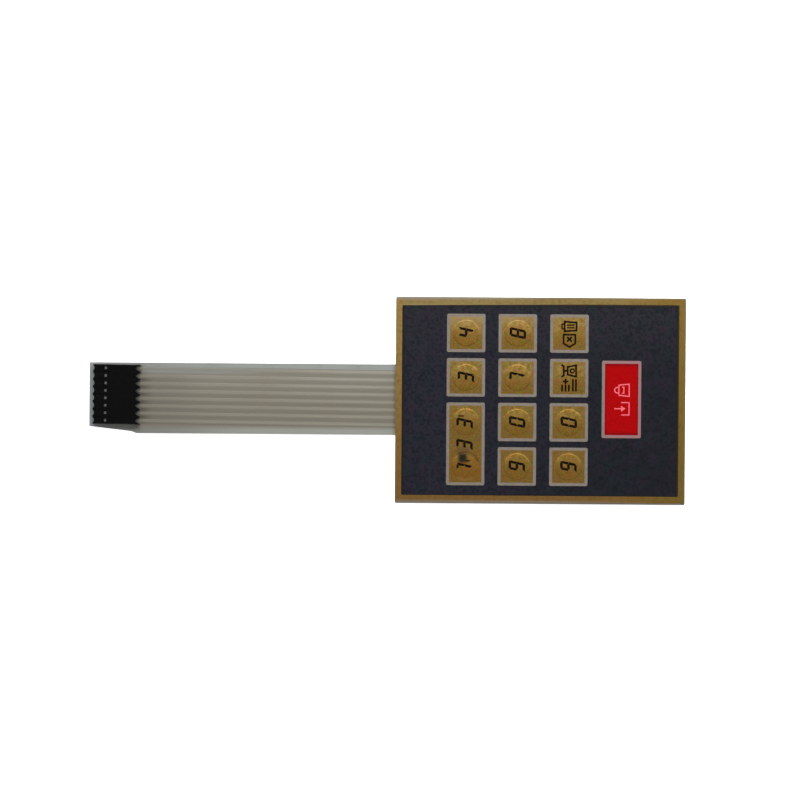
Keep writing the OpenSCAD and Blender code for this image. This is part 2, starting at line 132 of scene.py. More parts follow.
class Finish:
    """One material on its own shader, to which blotches, grain and relief are added in layers."""

    def __init__(self, name, tone, roughness, metallic=0, gloss=0.5):
        self.material = bpy.data.materials.new(name)
        self.material.use_nodes = True
        self.tree = self.material.node_tree
        self.shader = self.tree.nodes["Principled BSDF"]
        self.tone = tone
        self.shader.inputs["Base Color"].default_value = tone
        self.shader.inputs["Roughness"].default_value = roughness
        self.shader.inputs["Metallic"].default_value = metallic
        self.shader.inputs["Specular IOR Level"].default_value = gloss
        self.place = self.tree.nodes.new("ShaderNodeTexCoord").outputs["Object"]
        self.colour = None
        self.relief = None

    def spot(self, centre, size):
        """The place on the piece counted from a centre, in sizes. A size of 0 leaves that way out."""
        mapping = self.tree.nodes.new("ShaderNodeMapping")
        mapping.inputs["Scale"].default_value = [1 / s if s else 0 for s in size]
        mapping.inputs["Location"].default_value = [-c / s if s else 0 for c, s in zip(centre, size)]
        self.tree.links.new(self.place, mapping.inputs["Vector"])
        return mapping.outputs["Vector"]

    def parts(self, place):
        """How far a place lies to the right and to the far side, as two values."""
        split = self.tree.nodes.new("ShaderNodeSeparateXYZ")
        self.tree.links.new(place, split.inputs["Vector"])
        return split.outputs["X"], split.outputs["Y"]

    def along(self, direction):
        """How far a place lies along a direction, in metres."""
        product = self.tree.nodes.new("ShaderNodeVectorMath")
        product.operation = "DOT_PRODUCT"
        self.tree.links.new(self.place, product.inputs[0])
        product.inputs[1].default_value = direction
        return product.outputs["Value"]

    def work(self, operation, *values):
        """One step of arithmetic on values of the material and plain numbers."""
        step = self.tree.nodes.new("ShaderNodeMath")
        step.operation = operation
        for socket, value in zip(step.inputs, values):
            if isinstance(value, bpy.types.NodeSocket):
                self.tree.links.new(value, socket)
            else:
                socket.default_value = value
        return step.outputs["Value"]

    def both(self, first, second):
        """The product of two values."""
        return self.work("MULTIPLY", first, second)

    def span(self, value, low, high, to_low=0.0, to_high=1.0):
        """The value spread from low..high to to_low..to_high, with soft ends."""
        spread = self.tree.nodes.new("ShaderNodeMapRange")
        spread.interpolation_type = "SMOOTHSTEP"
        self.tree.links.new(value, spread.inputs["Value"])
        ends = (("From Min", low), ("From Max", high), ("To Min", to_low), ("To Max", to_high))
        for socket, number in ends:
            spread.inputs[socket].default_value = number
        return spread.outputs["Result"]

    def up_to(self, value, most):
        """A value of 0 to 1 brought down to 0 to the most, with soft ends."""
        return self.span(value, 0, 1, 0, most)

    def reach(self, direction, start, end):
        """0 up to the start and 1 from the end on, both measured along a direction in metres."""
        return self.span(self.along(direction), start, end)

    def patch(self, centre, size, inner, outer):
        """1 round a centre up to the inner share of those half sizes, and 0 from the outer share on."""
        distance = self.tree.nodes.new("ShaderNodeVectorMath")
        distance.operation = "ABSOLUTE"
        self.tree.links.new(self.spot(centre, size), distance.inputs[0])
        parts = self.parts(distance.outputs["Vector"])
        return self.both(*(self.span(part, inner, outer, 1, 0) for part in parts))

    def outside(self, marked, most=1):
        """0 where a part of the piece is marked, and the most everywhere else."""
        return self.span(marked, 0, 1, most, 0)

    def blotches(self, size, detail=3, stretch=1):
        """Soft noise whose blotches are about size metres across, and longer along X by the stretch."""
        texture = self.tree.nodes.new("ShaderNodeTexNoise")
        texture.inputs["Scale"].default_value = 1
        texture.inputs["Detail"].default_value = detail
        self.tree.links.new(self.spot((0, 0, 0), (size * stretch, size, size)), texture.inputs["Vector"])
        return texture.outputs["Fac"]

    def tint(self, amount, tone, most=None):
        """Lays a tone over the colour so far, as much as the amount says, or up to the most."""
        if most is not None:
            amount = self.up_to(amount, most)
        mix = self.tree.nodes.new("ShaderNodeMix")
        mix.data_type = "RGBA"
        share, below, above = (mix.inputs[number] for number in (0, 6, 7))
        self.tree.links.new(amount, share)
        below.default_value = self.tone
        if self.colour is not None:
            self.tree.links.new(self.colour, below)
        above.default_value = tone
        self.colour = mix.outputs[2]
        self.tree.links.new(self.colour, self.shader.inputs["Base Color"])

    def mottle(self, noise, none_at, most_at, tone, most):
        """Lays a tone by the noise, from none of it at one value of the noise to the most at the other."""
        self.tint(self.span(noise, none_at, most_at, 0, most), tone)

    def bump(self, height, depth):
        """Adds a relief of that depth in metres."""
        node = self.tree.nodes.new("ShaderNodeBump")
        node.inputs["Strength"].default_value = 1
        node.inputs["Distance"].default_value = depth
        self.tree.links.new(height, node.inputs["Height"])
        if self.relief is not None:
            self.tree.links.new(self.relief, node.inputs["Normal"])
        self.relief = node.outputs["Normal"]
        self.tree.links.new(self.relief, self.shader.inputs["Normal"])

    def polish(self, value, low, high):
        """Lets the roughness wander from low to high with the value."""
        self.tree.links.new(self.span(value, 0.3, 0.7, low, high), self.shader.inputs["Roughness"])

    def dress(self, *names):
        """Puts the finish on CAD nodes."""
        for name in names:
            mesh = nodes[name].data
            mesh.materials.clear()
            mesh.materials.append(self.material)
            mesh.polygons.foreach_set("material_index", [0] * len(mesh.polygons))


liner_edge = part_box("release_liner")[1]
liner_paper = Finish("liner_glassine", shade(150, 143, 131), roughness=0.5, gloss=0.3)
liner_fibres = liner_paper.blotches(0.6 * MM, detail=4, stretch=6)
liner_paper.mottle(liner_fibres, 0.45, 0.75, shade(166, 160, 148), most=0.35)
liner_paper.mottle(liner_paper.blotches(12 * MM), 0.4, 0.7, shade(128, 116, 98), most=0.4)
far_lip = liner_paper.reach(FAR, liner_edge.y - 5.2 * MM, liner_edge.y - 1.2 * MM)
liner_paper.tint(far_lip, shade(122, 115, 104))
right_part = liner_paper.reach(RIGHT, -25 * MM, 20 * MM)
liner_paper.tint(liner_paper.both(far_lip, right_part), shade(104, 91, 62))
right_lip = liner_paper.reach(RIGHT, liner_edge.x - 1.7 * MM, liner_edge.x - 0.7 * MM)
liner_paper.tint(right_lip, shade(104, 94, 70))
liner_paper.bump(liner_fibres, 0.01 * MM)
liner_paper.dress("release_liner")


# Sheets of adhesive
# Clear acrylic transfer tapes, gone faintly yellow. One lies between the liner and the circuit
# film, and the other holds the overlay down. Only their cut edges show, as a milky line.
tape = Finish("acrylic_tape", shade(150, 145, 128), roughness=0.25)
tape.mottle(tape.blotches(4 * MM), 0.4, 0.7, shade(134, 128, 108), most=0.4)
tape.bump(tape.blotches(0.4 * MM), 0.004 * MM)
tape.dress("rear_adhesive", "overlay_adhesive")


# Circuit film with its tail
# One sheet of milky polyester, die-cut so that the tail is part of it. Its face is satin, with
# drawing marks along the web, and it is browner at the near margin. Behind the receptacle, where
# it shows only in the housing's notches, it is darkened with painted shade.
tail_end = -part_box("circuit_film")[0].x
housing_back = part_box("receptacle_housing")[1].x
film = Finish("milky_polyester", shade(122, 125, 123), roughness=0.42, gloss=0.35)
film_streaks = film.blotches(0.5 * MM, detail=3, stretch=40)
film.mottle(film_streaks, 0.4, 0.75, shade(134, 138, 136), most=0.3)
film.mottle(film.blotches(9 * MM, detail=4), 0.45, 0.75, shade(110, 111, 105), most=0.5)
near_margin = film.reach(NEAR, 0, 3 * MM)
film.tint(near_margin, shade(125, 127, 121))
outer_half = film.reach(LEFT, tail_end - 58.5 * MM, tail_end - 21.5 * MM)
film.tint(film.both(near_margin, outer_half), shade(106, 108, 102))
beside_cover = film.reach(FAR, -11 * MM, -8.7 * MM)
film.tint(film.both(near_margin, beside_cover), shade(100, 94, 84))
beside_receptacle = film.reach(LEFT, tail_end - 17.5 * MM, tail_end - 12.5 * MM)
film.tint(film.both(near_margin, beside_receptacle), shade(117, 116, 113))
film.tint(film.reach(LEFT, tail_end - 3.5 * MM, tail_end - 1.5 * MM), shade(131, 133, 136))
# Painted shade: the film behind the housing, seen only in its notches, is darkened as if in the notches'
# shade.
notch_shade_strip = (housing_back - 1.1 * MM, 1.2 * MM, 0)
behind_housing = film.patch(notch_shade_strip, (2.5 * MM, 10.3 * MM, 0), 0.9, 1.02)
film.tint(behind_housing, shade(100, 96, 87))
film.polish(film_streaks, 0.36, 0.5)
film.bump(film_streaks, 0.004 * MM)
film.dress("circuit_film")


# Printed conductors
# Silver ink, screen-printed on the circuit film and cured. It is grey and finely grained, with
# the faint weave of the screen on it.
silver_ink = Finish("silver_ink", shade(140, 136, 124), roughness=0.45, metallic=0.35)
silver_grain = silver_ink.blotches(0.12 * MM, detail=2)
silver_ink.mottle(silver_grain, 0.4, 0.7, shade(118, 114, 102), most=0.5)
silver_ink.bump(silver_grain, 0.006 * MM)
silver_ink.dress("circuit_traces")


# Cover strip over the tail's conductors
# A taupe film laminated over the eight lanes, which lean a little against the tail. It rises into
# a ridge over each lane, where the silver shines through, and it is darker near the receptacle.
# Its valleys next to the housing carry painted shade, and its first lanes a painted cool reflection.
receptacle = next(mount for mount in frame["record"]["mounts"] if mount["name"] == "pin_receptacle")
mouth = Vector(receptacle["pos_m"])
outward = Vector(receptacle["axis"])
across = Vector((outward.y, -outward.x, 0))
contact_names = [name for name in nodes if name.startswith("contact_")]
ways = len(contact_names)
way_pitch = (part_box("contact_1")[0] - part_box(f"contact_{ways}")[0]).dot(across) / (ways - 1)
lane_by_middle = mouth.dot(across) + way_pitch / 2
cover_low, cover_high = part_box("tail_cover")
cover_end = -cover_low.x
cover = Finish("taupe_cover_film", shade(98, 94, 84), roughness=0.5, gloss=0.25)
from_one_lane = cover.work("SUBTRACT", cover.along(across), lane_by_middle)
from_lane = cover.work("PINGPONG", from_one_lane, way_pitch / 2)
over_lane = cover.span(from_lane, 0.05 * MM, 0.9 * MM, 1, 0)
in_valley = cover.span(from_lane, 0.3 * MM, 1 * MM)
cover.tint(over_lane, shade(118, 115, 103))
towards_first = cover.reach(FAR, cover_low.y + 3.5 * MM, cover_high.y + 0.2 * MM)
cover.tint(towards_first, shade(128, 126, 117), most=0.2)
first_ridges = cover.both(over_lane, cover.up_to(towards_first, 0.4))
cover.tint(first_ridges, shade(136, 133, 124))
cover_streaks = cover.blotches(0.4 * MM, detail=3, stretch=60)
cover.mottle(cover_streaks, 0.45, 0.8, shade(116, 112, 101), most=0.25)
cover.mottle(cover.blotches(20 * MM), 0.45, 0.75, shade(104, 98, 85), most=0.3)
outer_part = cover.reach(LEFT, cover_end - 30.8 * MM, cover_end - 0.8 * MM)
cover.tint(outer_part, shade(84, 80, 72), most=0.35)
# Painted shade: the valleys between the lanes darken next to the housing, as if in its shade.
last_stretch = cover.reach(LEFT, cover_end - 4.8 * MM, cover_end + 1.2 * MM)
cover.tint(cover.both(in_valley, last_stretch), shade(72, 68, 60))
# Painted reflection: a cool, lighter cast over the first lanes near the receptacle.
over_first_lane = cover.reach(FAR, cover_high.y - 3.4 * MM, cover_high.y - 1.2 * MM)
near_receptacle = cover.reach(LEFT, cover_end - 51.8 * MM, cover_end - 23.8 * MM)
cover.tint(cover.both(over_first_lane, near_receptacle), shade(116, 118, 114))
# The lanes' colour is tinted dimmer towards the receptacle; the ridges themselves are unchanged.
dimmer_lane_stretch = cover.reach(LEFT, cover_end - 75.8 * MM, cover_end - 35.8 * MM)
dimmer_lanes = cover.both(over_lane, cover.up_to(dimmer_lane_stretch, 0.5))
cover.tint(dimmer_lanes, shade(107, 103, 92))
cover.polish(cover_streaks, 0.42, 0.56)
cover.bump(cover_streaks, 0.004 * MM)
cover.dress("tail_cover")


# Dome spacer and the film that holds the domes
# The spacer is white polyester coated with adhesive, with a hole for each dome, and the clear
# holding film is laid over it once the domes are in. Both show only at the panel's cut edge.
spacer = Finish("spacer_polyester", shade(160, 160, 153), roughness=0.5)
spacer.mottle(spacer.blotches(0.8 * MM), 0.4, 0.7, shade(142, 142, 134), most=0.4)
spacer.bump(spacer.blotches(0.2 * MM), 0.006 * MM)
spacer.dress("dome_spacer")
holding_film = Finish("clear_holding_film", shade(138, 142, 142), roughness=0.25)
holding_film.mottle(holding_film.blotches(3 * MM), 0.4, 0.7, shade(124, 128, 126), most=0.4)
holding_film.dress("dome_retainer")


# Snap domes
# Stamped from thin stainless strip, so each has fine rolling lines across it. They sit in the
# spacer's holes, on the printed contact rings.
dome_steel = Finish("stainless_strip", shade(190, 191, 192), roughness=0.28, metallic=1)
rolling_lines = dome_steel.blotches(0.1 * MM, detail=2, stretch=30)
dome_steel.mottle(rolling_lines, 0.4, 0.7, shade(166, 167, 169), most=0.5)
dome_steel.polish(rolling_lines, 0.22, 0.38)
digit_domes = [f"dome_{column}_{row}" for column in (1, 2, 3) for row in (1, 2, 3, 4)]
dome_steel.dress("dome_red", *digit_domes)


# Graphic overlay
# Polyester with a fine grained face, printed near black in an uneven ink with violet and green
# casts, and painted lighter towards the left and the far side, where the light comes from. The
# border's gold glows through at its edge, and slips over it a little at the far left.
border_width = 2 * MM
panel_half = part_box("border_print")[1]
field_half = Vector((panel_half.x - border_width, panel_half.y - border_width, 0))
overlay = Finish("dark_overlay_film", shade(22, 23, 29), roughness=0.55, gloss=0.07)
# Painted light: the field is lighter towards the left and the far side, where the light comes from.
overlay.tint(overlay.reach(LEFT, -30 * MM, 40 * MM), shade(29, 29, 38))
overlay.tint(overlay.reach(FAR, 5 * MM, 32 * MM), shade(31, 31, 37))
overlay.mottle(overlay.blotches(4 * MM, detail=4), 0.44, 0.62, shade(34, 26, 38), most=0.5)
overlay.mottle(overlay.blotches(3 * MM, detail=4), 0.46, 0.62, shade(17, 30, 31), most=0.45)
overlay.mottle(overlay.blotches(0.9 * MM), 0.46, 0.64, shade(12, 12, 20), most=0.65)
thick_ink = overlay.outside(overlay.patch((0, 0, 0), field_half, 0.965, 0.995), most=0.7)
overlay.tint(thick_ink, shade(23, 23, 19))
gold_glow = overlay.outside(overlay.patch((0, 0, 0), field_half, 0.99, 1.002))
overlay.tint(gold_glow, shade(46, 35, 26))
slanted_far = Vector((-0.01, 1, 0))
gold_slip = overlay.reach(slanted_far, field_half.y - 0.05 * MM, field_half.y + 0.23 * MM)
overlay.tint(gold_slip, shade(120, 103, 66))
overlay_grain = overlay.blotches(0.14 * MM, detail=2)
overlay.bump(overlay_grain, 0.008 * MM)
overlay.polish(overlay_grain, 0.48, 0.64)
overlay.dress("graphic_overlay")


# Gold border
# A metallic ink printed in a frame round the panel. Painted light makes it yellower towards the
# tail, and painted shade browner at the near and right edges. Its flakes catch the light
# unevenly, and it thins out at the cut rim.
border = Finish("gold_border_ink", shade(126, 108, 67), roughness=0.5, metallic=0.85, gloss=0.1)
# Painted light and shade: lighter and yellower towards the tail, browner towards the near and right edges.
border.tint(border.reach(LEFT, -20 * MM, 40 * MM), shade(134, 115, 72), most=0.8)
left_edge = border.reach(LEFT, panel_half.x - 3.1 * MM, panel_half.x - 1.9 * MM)
border.tint(left_edge, shade(138, 112, 64))
border.tint(border.reach(NEAR, -20 * MM, 32 * MM), shade(126, 93, 49))
border.tint(border.reach(RIGHT, 20 * MM, 47 * MM), shade(118, 94, 42))
border.mottle(border.blotches(1.2 * MM, detail=3), 0.42, 0.7, shade(98, 76, 32), most=0.45)
border_flakes = border.blotches(0.16 * MM, detail=2)
border.mottle(border_flakes, 0.45, 0.8, shade(138, 122, 80), most=0.35)
within_rims = border.patch((0, 0, 0), (panel_half.x * 1.3, panel_half.y, 0), 0.968, 1)
bare_stretch = border.reach(LEFT + NEAR * 0.6, -30 * MM, 24 * MM)
bare_rim = border.both(border.outside(within_rims, most=0.8), bare_stretch)
border.tint(bare_rim, shade(134, 122, 104))
border.bump(border_flakes, 0.0025 * MM)
border.dress("border_print")


# Key outlines
# Flat grey ink, one rounded frame printed round every key, with the slight unevenness of a screen
# print. The red key's ink has bled a little into its frame and turns it pink.
red_low, red_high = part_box("red_key_face")
red_middle = Vector(((red_low.x + red_high.x) / 2, (red_low.y + red_high.y) / 2, 0))
outline_ink = Finish("grey_outline_ink", shade(110, 103, 95), roughness=0.6, gloss=0.1)
outline_ink.mottle(outline_ink.blotches(1.2 * MM), 0.42, 0.7, shade(98, 86, 78), most=0.6)
outline_ink.mottle(outline_ink.blotches(0.7 * MM), 0.5, 0.72, shade(116, 111, 108), most=0.5)
round_red_key = outline_ink.patch(red_middle + RIGHT * MM, (7.4 * MM, 15 * MM, 0), 0.88, 1)
outline_ink.tint(round_red_key, shade(124, 94, 95))
outline_ink.bump(outline_ink.blotches(0.14 * MM, detail=2), 0.006 * MM)
outline_ink.dress("key_outlines")


# Gold key faces
# A metallic ink mottled between olive and orange. Painted shade darkens it towards the near
# rows and on each key's near half; painted light brightens the far half of each pressed disc and
# the first keys' far edge, and the tall key's lower disc has a painted highlight and shade on its
# rim. A cool grey stain is left on the tall key, between its second and third figures.
def key_centre(column, row):
    """The middle of the dome under a key."""
    low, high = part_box(f"dome_{column}_{row}")
    return Vector(((low.x + high.x) / 2, (low.y + high.y) / 2))


def by_dome(column, row, right, far):
    """A point so many millimetres to the right and to the far side of a dome's middle."""
    return key_centre(column, row) + Vector((right, far)) * MM


disc_radius = 4.4
gold = Finish("gold_key_ink", shade(132, 112, 68), roughness=0.6, metallic=0.85, gloss=0.1)
first_key = key_centre(1, 1)
key_pitch = key_centre(2, 2) - first_key
half_pitch = [abs(pitch) / 2 / MM for pitch in key_pitch]
from_first_key = gold.parts(gold.spot((*first_key, 0), (MM, MM, MM)))
key_right, key_far = (gold.work("WRAP", way, half, -half) for way, half in zip(from_first_key, half_pitch))
squares = gold.work("ADD", gold.both(key_right, key_right), gold.both(key_far, key_far))
from_disc_middle = gold.work("SQRT", squares)
on_disc = gold.span(from_disc_middle, disc_radius, disc_radius + 1, 1, 0)
near_half = gold.span(key_far, -4, 4, 0.85, 0)
far_half = gold.span(key_far, -3, 4, 0, 0.5)
# Painted shade: the keys darken and brown towards the near rows, and on the near half of each key.
gold.tint(gold.reach(NEAR, -22 * MM, 26 * MM), shade(108, 83, 43))
gold.tint(gold.both(near_half, gold.reach(FAR, -30 * MM, 0)), shade(98, 75, 34))
# Painted light and shade: each pressed disc is lighter on its far half and darker orange on its near half.
gold.tint(gold.both(on_disc, far_half), shade(163, 130, 62))
gold.tint(gold.both(on_disc, gold.up_to(near_half, 0.6)), shade(115, 74, 14))
gold.mottle(gold.blotches(1.5 * MM, detail=3), 0.44, 0.62, shade(128, 82, 30), most=0.7)
gold.mottle(gold.blotches(1.1 * MM, detail=3), 0.46, 0.64, shade(102, 92, 22), most=0.7)
gold_flakes = gold.blotches(0.3 * MM, detail=3)
gold.mottle(gold_flakes, 0.5, 0.7, shade(142, 124, 78), most=0.6)
gold.mottle(gold_flakes, 0.5, 0.3, shade(88, 70, 30), most=0.6)
# Painted highlight: a pale glare along the far edge of the first keys.
first_row_glare = gold.both(gold.reach(FAR, 24 * MM, 30 * MM), gold.reach(LEFT, -12 * MM, 20 * MM))
gold.tint(first_row_glare, shade(141, 121, 84))


def by_foot(right, far):
    """A point so many millimetres to the right and to the far side of the tall key's lower dome."""
    return by_dome(1, 4, right, far).to_3d()


gold.tint(gold.patch(by_foot(0, 0), (7 * MM, 7.5 * MM, 0), 0.5, 1), shade(124, 76, 20), most=0.3)
gold.tint(gold.patch(by_foot(-0.9, 5.2), (2.6 * MM, 1.7 * MM, 0), 0.3, 1.3), shade(82, 70, 52), most=0.5)
past_middle = gold.span(from_disc_middle, disc_radius - 0.6, disc_radius)
disc_rim = gold.both(past_middle, gold.span(from_disc_middle, disc_radius + 0.4, disc_radius + 0.8, 1, 0))
# Painted shade: the far rim of the tall key's lower disc is darkened so that it shows no highlight.
far_rim_shade = gold.both(disc_rim, gold.patch(by_foot(1.4, 4), (4.4 * MM, 3 * MM, 0), 0.7, 1.1))
gold.tint(far_rim_shade, shade(80, 58, 24), most=0.75)
# Painted highlight: a lighter arc on the near rim of the tall key's lower disc.
near_rim_highlight = gold.both(disc_rim, gold.patch(by_foot(0, -4.6), (3.6 * MM, 1.4 * MM, 0), 0.6, 1.1))
gold.tint(near_rim_highlight, shade(150, 112, 64), most=0.35)
stain = gold.patch(by_foot(-0.9, 2.7), (1.7 * MM, 1.8 * MM, 0), 0.35, 1.4)
gold.tint(gold.both(stain, gold.span(gold_flakes, 0.3, 0.6, 0.85, 1)), shade(27, 31, 26))
after_second_column = key_centre(2, 1).x + abs(key_pitch.x) / 2
after_third_row = key_centre(3, 3).y + abs(key_pitch.y) / 2
function_column = gold.reach(RIGHT, after_second_column - MM, after_second_column + MM)
function_rows = gold.reach(FAR, after_third_row - MM, after_third_row + MM)
embossed_keys = gold.outside(gold.both(function_column, function_rows))
shoulder = gold.span(from_disc_middle, disc_radius - 1.2, disc_radius + 0.4, 1, 0)
gold.bump(gold.both(shoulder, embossed_keys), 0.08 * MM)
gold.bump(gold.blotches(0.16 * MM, detail=2), 0.005 * MM)
gold.dress("key_faces")


# Red key face
# A flat scarlet ink, printed within its grey outline. It is slightly mottled, and darker along
# the rim, where the two inks lie over each other.
red_half = red_high - red_middle
red = Finish("scarlet_key_ink", shade(142, 0, 2), roughness=0.55, gloss=0.04)
red.mottle(red.blotches(0.7 * MM, detail=4), 0.42, 0.66, shade(116, 1, 5), most=0.6)
red.mottle(red.blotches(0.5 * MM, detail=2), 0.5, 0.7, shade(152, 4, 8), most=0.6)
red_rim = red.outside(red.patch(red_middle, (red_half.x, red_half.y, 0), 0.86, 1))
red.tint(red_rim, shade(110, 2, 8))
red.bump(red.blotches(0.14 * MM, detail=2), 0.006 * MM)
red.dress("red_key_face")


# Figures on the gold keys
# Seven-bar figures in near black ink, drawn here in millimetres. They lean over, and are read from
# the panel's free end: a figure's top points to the tail and its right side to the far edge.
figure_w = 3.05
figure_h = 5.6
bar_w = 0.85
corner_cut = 0.5
bar_gap = 0.03
figure_lean = math.tan(math.radians(12))
half_h = figure_h / 2
half_bar = bar_w / 2
half_cut = corner_cut / 2
ink_lift = 0.012 * MM
above_panel = 10 * MM


def flip_across(outline):
    """A bar of the other side of a figure."""
    return [(figure_w - right, up) for right, up in outline]


def flip_down(outline):
    """A bar of the other half of a figure."""
    return [(right, figure_h - up) for right, up in outline]


top_bar = [(corner_cut, figure_h), (figure_w - corner_cut, figure_h),
           (figure_w - half_cut - bar_gap, figure_h - half_cut),
           (figure_w - bar_w - bar_gap, figure_h - bar_w), (bar_w + bar_gap, figure_h - bar_w),
           (half_cut + bar_gap, figure_h - half_cut)]
right_bar = [(figure_w - half_cut, figure_h - half_cut - bar_gap), (figure_w, figure_h - corner_cut),
             (figure_w, half_h + bar_gap), (figure_w - half_bar, half_h + bar_gap),
             (figure_w - bar_w, half_h + half_bar + bar_gap), (figure_w - bar_w, figure_h - bar_w - bar_gap)]
middle_bar = [(half_bar + bar_gap, half_h), (bar_w + bar_gap, half_h + half_bar),
              (figure_w - bar_w - bar_gap, half_h + half_bar), (figure_w - half_bar - bar_gap, half_h),
              (figure_w - bar_w - bar_gap, half_h - half_bar), (bar_w + bar_gap, half_h - half_bar)]
BARS = {
    "top": top_bar,
    "bottom": flip_down(top_bar),
    "middle": middle_bar,
    "upper_right": right_bar,
    "lower_right": flip_down(right_bar),
    "upper_left": flip_across(right_bar),
    "lower_left": flip_across(flip_down(right_bar)),
}
FIGURES = {
    "0": ("top", "upper_left", "upper_right", "lower_left", "lower_right", "bottom"),
    "1": ("upper_right", "lower_right"),
    "3": ("top", "upper_right", "middle", "lower_right", "bottom"),
    "4": ("upper_left", "upper_right", "middle", "lower_right"),
    "7": ("top", "upper_right", "lower_right"),
    "8": tuple(BARS),
    "9": ("top", "upper_left", "upper_right", "middle", "lower_right", "bottom"),
}


def print_height(x, y):
    """How high the printed face lies at a point of the panel."""
    for name in ("key_faces", "red_key_face"):
        hit, place, _, _ = nodes[name].ray_cast(Vector((x, y, above_panel)), Vector((0, 0, -1)))
        if hit:
            return place.z
    raise ValueError(f"no key lies at {x}, {y}")


def on_panel(point, centre):
    """Turns a symbol's own point, right and up in millimetres, to the panel's metres."""
    return (centre[0] - point[1] * MM, centre[1] + point[0] * MM)


def lay_ink(ink, outline, centre):
    """Adds a filled shape of ink, drawn round the symbol's centre, to a sheet of ink."""
    z = print_height(*centre)
    places = [on_panel(point, centre) for point in outline]
    low = [ink.verts.new((x, y, z)) for x, y in places]
    high = [ink.verts.new((x, y, z + ink_lift)) for x, y in places]
    ink.faces.new(high)
    ink.faces.new(low[::-1])
    for k in range(len(places)):
        ink.faces.new((low[k - 1], low[k], high[k], high[k - 1]))


def lay_stroke(ink, width, height, centre):
    """Adds a plain bar of that width and height to a sheet of ink."""
    right, up = width / 2, height / 2
    lay_ink(ink, [(-right, -up), (right, -up), (right, up), (-right, up)], centre)


def finish_ink(ink, name, finish):
    """Turns a sheet of ink into a piece of the panel."""
    bmesh.ops.recalc_face_normals(ink, faces=ink.faces)
    mesh = bpy.data.meshes.new(name)
    ink.to_mesh(mesh)
    ink.free()
    mesh.materials.append(finish.material)
    piece = bpy.data.objects.new(name, mesh)
    scene.collection.objects.link(piece)
    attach(piece, "root")


def leaning(outline):
    """A figure's outline counted from its middle, leaning to its right."""
    return [(right - figure_w / 2 + (up - half_h) * figure_lean, up - half_h) for right, up in outline]


figure_places = [
    ("4", key_centre(1, 1)), ("3", key_centre(1, 2)), ("8", key_centre(2, 1)), ("7", key_centre(2, 2)),
    ("0", key_centre(2, 3)), ("9", key_centre(2, 4)), ("0", key_centre(3, 3)), ("9", key_centre(3, 4)),
    ("3", by_dome(1, 3, -0.3, -0.7)), ("3", by_dome(1, 3, -0.3, -7.9)), ("1", by_dome(1, 4, -0.3, -0.9)),
]
print_slip = Vector((0, 0.06)) * MM
figure_ink = Finish("near_black_figure_ink", shade(10, 4, 1), roughness=0.6, gloss=0.04)
figure_ink.mottle(figure_ink.blotches(0.6 * MM, detail=2), 0.4, 0.7, shade(20, 9, 3), most=0.5)
figures = bmesh.new()
for figure, place in figure_places:
    for bar in FIGURES[figure]:
        lay_ink(figures, leaning(BARS[bar]), place + print_slip)
flag_root = (figure_w / 2 - bar_w + half_h * figure_lean, half_h - half_bar)
flag_corners = ((-1.1, -0.4), (0.1, -0.4), (0.1, 0.3), (-1.1, 0.3))
flag = [(flag_root[0] + right, flag_root[1] + up) for right, up in flag_corners]
lay_ink(figures, flag, figure_places[-1][1] + print_slip)
lay_stroke(figures, width=0.42, height=2, centre=by_dome(1, 3, -1.65, 1.95))
lay_stroke(figures, width=0.5, height=1.3, centre=by_dome(1, 4, 0.9, 1.8))
finish_ink(figures, "key_figures", figure_ink)


# Pictures on the function keys
# Plain line drawings in the same ink: a rub-out arrow and a waste bin on the upper key, and a sum
# of lines and a weighing pan on the lower one. They are read the same way as the figures.
def line_edges(points, width, closed=False):
    """The left and the right edge of a drawn line, mitred where it turns."""
    points = [Vector(p) for p in points]
    last = len(points) - 1
    left, right = [], []
    for k, point in enumerate(points):
        before = points[k - 1] if k > 0 or closed else None
        after = points[(k + 1) % len(points)] if k < last or closed else None
        normals = []
        for start, end in ((before, point), (point, after)):
            if start is not None and end is not None:
                along = (end - start).normalized()
                normals.append(Vector((-along.y, along.x)))
        mitre = sum(normals, Vector((0, 0)))
        mitre = mitre * (width / 2 / mitre.dot(normals[0]))
        left.append(point + mitre)
        right.append(point - mitre)
    return left, right


def draw_line(ink, points, width, centre, closed=False):
    """Adds a drawn line to a sheet of ink: its top, its underside and its walls."""
    z = print_height(*centre)
    rims = []
    for edge in line_edges(points, width, closed):
        places = [on_panel(point, centre) for point in edge]
        rims.append(([ink.verts.new((x, y, z)) for x, y in places],
                     [ink.verts.new((x, y, z + ink_lift)) for x, y in places]))
    (left_low, left_high), (right_low, right_high) = rims
    for k in range(0 if closed else 1, len(points)):
        ink.faces.new((left_high[k - 1], right_high[k - 1], right_high[k], left_high[k]))
        ink.faces.new((left_low[k - 1], left_low[k], right_low[k], right_low[k - 1]))
        ink.faces.new((left_low[k - 1], left_high[k - 1], left_high[k], left_low[k]))
        ink.faces.new((right_low[k - 1], right_low[k], right_high[k], right_high[k - 1]))
    if not closed:
        for k in (0, -1):
            ink.faces.new((left_low[k], right_low[k], right_high[k], left_high[k]))


def arc(centre, radius, start, end, steps):
    """Points along an arc, with its angles in degrees."""
    angles = [math.radians(start + (end - start) * k / steps) for k in range(steps + 1)]
    return [(centre[0] + radius * math.cos(a), centre[1] + radius * math.sin(a)) for a in angles]


def cross(centre, arm, width, turn):
    """The outline of a cross with that reach, turned by degrees."""
    half = width / 2
    corners = []
    for quarter in range(4):
        for right, up in ((arm, -half), (arm, half), (half, half)):
            angle = math.radians(90 * quarter + turn)
            corners.append((centre[0] + right * math.cos(angle) - up * math.sin(angle),
                            centre[1] + right * math.sin(angle) + up * math.cos(angle)))
    return corners


